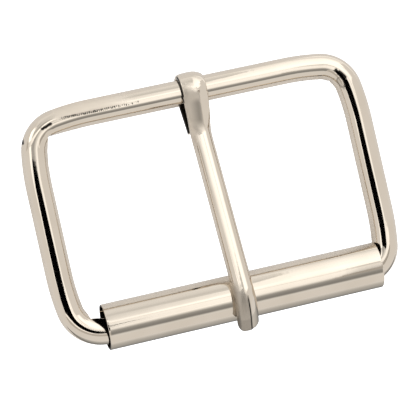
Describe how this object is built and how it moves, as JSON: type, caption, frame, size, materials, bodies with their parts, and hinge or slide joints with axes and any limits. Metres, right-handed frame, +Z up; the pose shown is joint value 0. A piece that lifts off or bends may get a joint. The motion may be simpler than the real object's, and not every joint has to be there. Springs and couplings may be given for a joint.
{
  "type": "roller buckle",
  "caption": "Polished nickel roller buckle: a rounded rectangular wire frame with a loose tube roller on its lower bar and a hinged prong lying across the window.",
  "frame": {"origin": "middle of the footprint, on the surface that the buckle lies on", "axes": "+X along the bars, +Y from the roller to the prong's bar, +Z up, towards the side on which the prong lies"},
  "size_m": [0.0612, 0.0451, 0.0107],
  "materials": {
    "nickel": "bright nickel plate on steel"
  },
  "bodies": {
    "frame": {"frame": "nickel"},
    "roller": {"roller": "nickel"},
    "prong": {"prong": "nickel"}
  },
  "joints": [
    {"name": "roller_spin", "type": "hinge", "parent": "frame", "child": "roller", "pos_m": [0, -0.01677, 0.00394], "axis": [1, 0, 0], "continuous": true},
    {"name": "prong_swing", "type": "hinge", "parent": "frame", "child": "prong", "pos_m": [0, 0.01925, 0.00331], "axis": [-1, 0, 0], "range_deg": [0, 172]}
  ]
}
